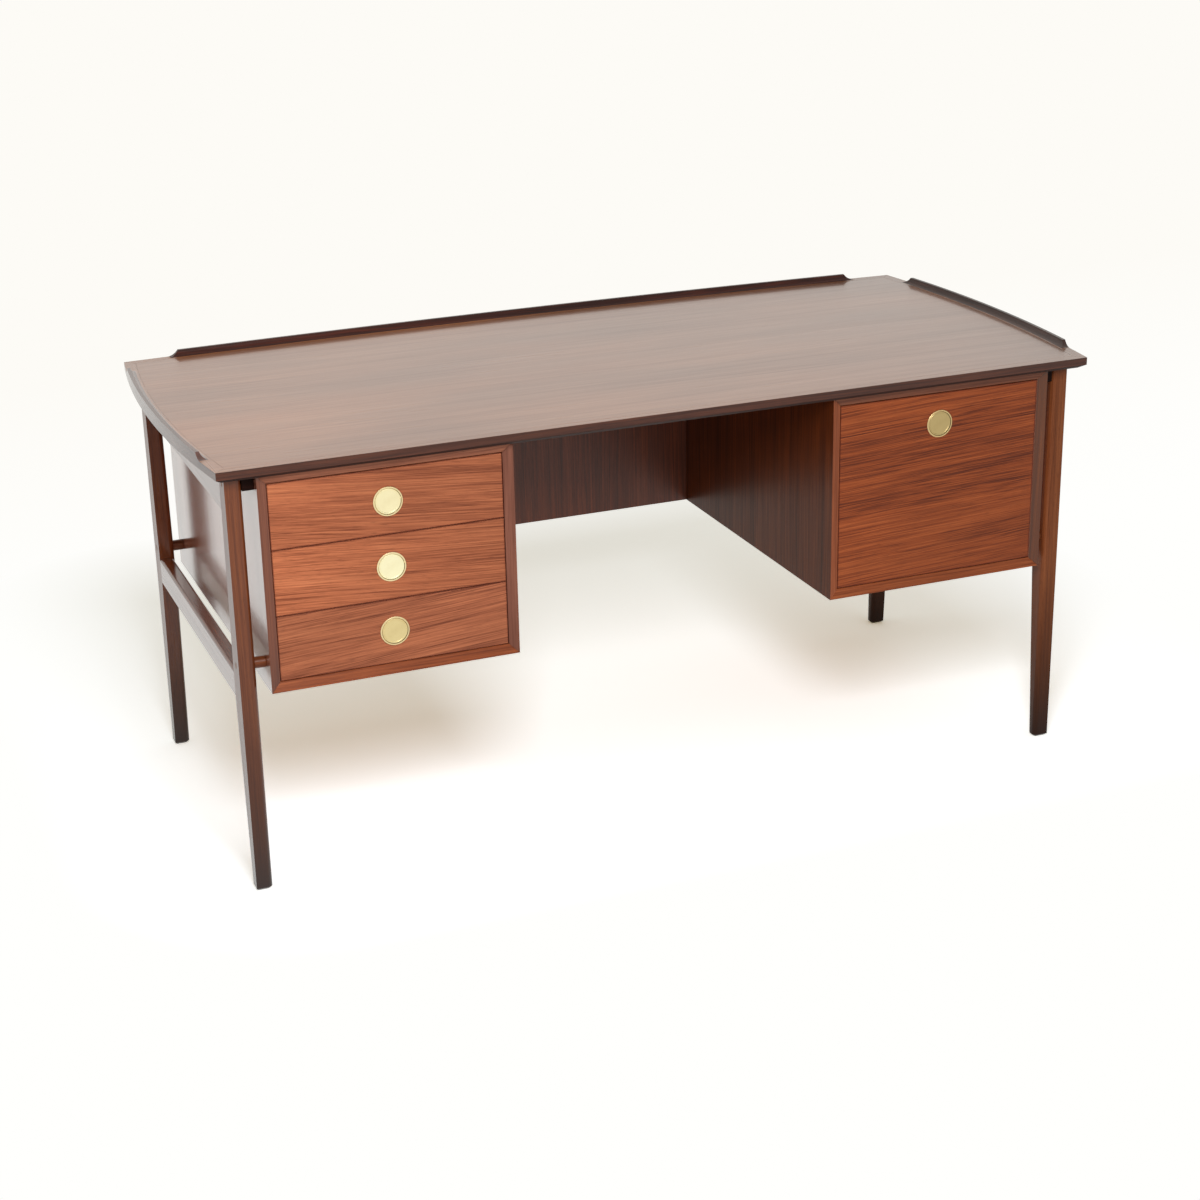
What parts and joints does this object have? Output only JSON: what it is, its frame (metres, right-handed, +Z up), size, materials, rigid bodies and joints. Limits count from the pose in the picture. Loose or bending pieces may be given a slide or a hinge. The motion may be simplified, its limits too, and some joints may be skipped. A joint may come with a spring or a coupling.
{
  "type": "executive desk",
  "caption": "Executive desk with a bowed, lipped top on two side frames, drawer and file pedestals hung between them, and flush tipping disc pulls.",
  "frame": {"origin": "on the floor, under the centre of the desk's outer box", "axes": "+X to the right along the desk as the sitter sees it, +Y from the sitter to the back, +Z up"},
  "size_m": [1.5898, 0.742, 0.741],
  "materials": {
    "top_veneer": "polished veneer with straight grain along the desk",
    "edge_wood": "polished dark wood",
    "frame_wood": "polished dark wood",
    "carcass_veneer": "polished veneer",
    "front_veneer": "polished veneer with streaks along the desk",
    "drawer_wood": "pale sealed wood",
    "brass": "satin",
    "screw_steel": "plain"
  },
  "bodies": {
    "desk": {"top_panel": "top_veneer", "top_edge_front": "edge_wood", "top_edge_rear": "edge_wood", "top_edge_left": "edge_wood", "leg_front_left": "frame_wood", "leg_rear_left": "frame_wood", "upper_rail_left": "frame_wood", "stretcher_left": "frame_wood", "pedestal_left_outer_side": "carcass_veneer", "pedestal_left_inner_side": "carcass_veneer", "pedestal_left_top": "carcass_veneer", "pedestal_left_bottom": "carcass_veneer", "pedestal_left_back": "carcass_veneer", "runners_left": "drawer_wood", "top_edge_right": "edge_wood", "leg_front_right": "frame_wood", "leg_rear_right": "frame_wood", "upper_rail_right": "frame_wood", "stretcher_right": "frame_wood", "pedestal_right_outer_side": "carcass_veneer", "pedestal_right_inner_side": "carcass_veneer", "pedestal_right_top": "carcass_veneer", "pedestal_right_bottom": "carcass_veneer", "pedestal_right_back": "carcass_veneer", "runners_right": "drawer_wood", "spacer_blocks": "frame_wood", "spacer_pegs": "frame_wood", "frame_screws": "screw_steel", "screw_plugs": "frame_wood", "top_screws": "screw_steel", "modesty_dowels": "drawer_wood", "modesty_panel": "carcass_veneer"},
    "drawer_top": {"drawer_top_front": "front_veneer", "drawer_top_sides": "drawer_wood", "drawer_top_back": "drawer_wood", "drawer_top_bottom": "drawer_wood", "drawer_top_pull_cup": "brass", "drawer_top_pull_pin": "brass"},
    "drawer_top_pull": {"drawer_top_pull_disc": "brass"},
    "drawer_middle": {"drawer_middle_front": "front_veneer", "drawer_middle_sides": "drawer_wood", "drawer_middle_back": "drawer_wood", "drawer_middle_bottom": "drawer_wood", "drawer_middle_pull_cup": "brass", "drawer_middle_pull_pin": "brass"},
    "drawer_middle_pull": {"drawer_middle_pull_disc": "brass"},
    "drawer_bottom": {"drawer_bottom_front": "front_veneer", "drawer_bottom_sides": "drawer_wood", "drawer_bottom_back": "drawer_wood", "drawer_bottom_bottom": "drawer_wood", "drawer_bottom_pull_cup": "brass", "drawer_bottom_pull_pin": "brass"},
    "drawer_bottom_pull": {"drawer_bottom_pull_disc": "brass"},
    "file_drawer": {"file_drawer_front": "front_veneer", "file_drawer_sides": "drawer_wood", "file_drawer_back": "drawer_wood", "file_drawer_bottom": "drawer_wood", "file_drawer_pull_cup": "brass", "file_drawer_pull_pin": "brass"},
    "file_drawer_pull": {"file_drawer_pull_disc": "brass"}
  },
  "joints": [
    {"name": "drawer_top_slide", "type": "slide", "parent": "desk", "child": "drawer_top", "axis": [0, -1, 0], "range_m": [0, 0.42]},
    {"name": "drawer_top_pull_tip", "type": "hinge", "parent": "drawer_top", "child": "drawer_top_pull", "pos_m": [-0.4955, -0.3427, 0.6426], "axis": [-1, 0, 0], "range_deg": [0, 35]},
    {"name": "drawer_middle_slide", "type": "slide", "parent": "desk", "child": "drawer_middle", "axis": [0, -1, 0], "range_m": [0, 0.42]},
    {"name": "drawer_middle_pull_tip", "type": "hinge", "parent": "drawer_middle", "child": "drawer_middle_pull", "pos_m": [-0.4955, -0.3427, 0.533], "axis": [-1, 0, 0], "range_deg": [0, 35]},
    {"name": "drawer_bottom_slide", "type": "slide", "parent": "desk", "child": "drawer_bottom", "axis": [0, -1, 0], "range_m": [0, 0.42]},
    {"name": "drawer_bottom_pull_tip", "type": "hinge", "parent": "drawer_bottom", "child": "drawer_bottom_pull", "pos_m": [-0.4955, -0.3427, 0.4234], "axis": [-1, 0, 0], "range_deg": [0, 35]},
    {"name": "file_drawer_slide", "type": "slide", "parent": "desk", "child": "file_drawer", "axis": [0, -1, 0], "range_m": [0, 0.42]},
    {"name": "file_drawer_pull_tip", "type": "hinge", "parent": "file_drawer", "child": "file_drawer_pull", "pos_m": [0.4955, -0.3427, 0.6426], "axis": [-1, 0, 0], "range_deg": [0, 35]}
  ]
}
